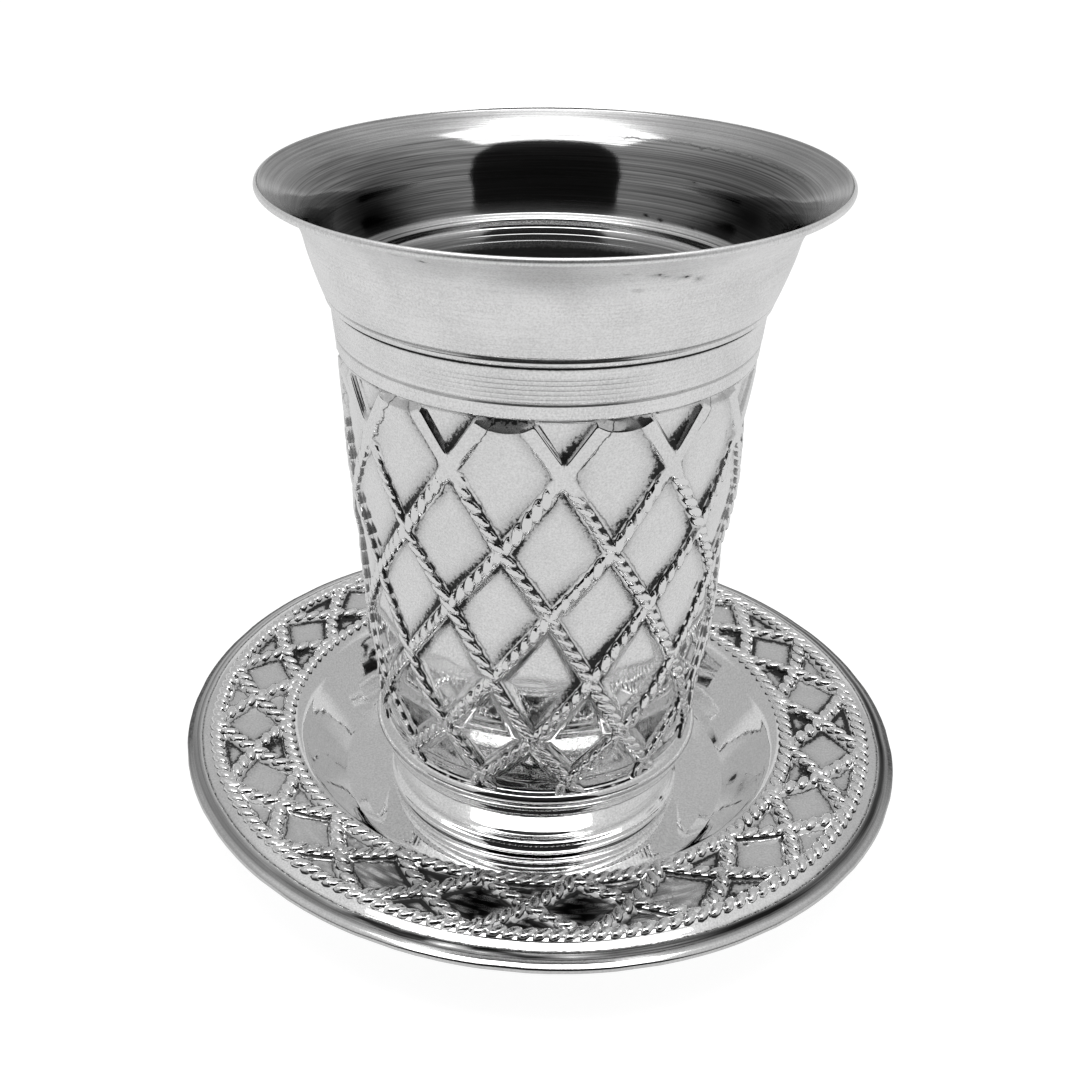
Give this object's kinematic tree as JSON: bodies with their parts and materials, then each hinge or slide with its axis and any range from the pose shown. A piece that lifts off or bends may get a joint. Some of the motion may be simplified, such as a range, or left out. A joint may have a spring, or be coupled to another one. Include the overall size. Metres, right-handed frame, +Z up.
{
  "type": "kiddush cup with saucer",
  "caption": "Silver kiddush cup with a flared mouth and a lattice of rope work, standing on a round saucer with a rope-work brim.",
  "frame": {"origin": "centre of the saucer's underside, on the table", "axes": "+Z up along the axis of the cup and the saucer, -Y the front"},
  "size_m": [0.1002, 0.1002, 0.0898],
  "materials": {
    "cup_silver": "satin turned silver, polished over the ropes and the foot, dark patina beside the ropes",
    "saucer_silver": "polished silver ropes and lip, satin well, near-black patina in the corners of the rope work"
  },
  "bodies": {
    "root": {"cup": "cup_silver", "saucer": "saucer_silver"}
  },
  "joints": []
}
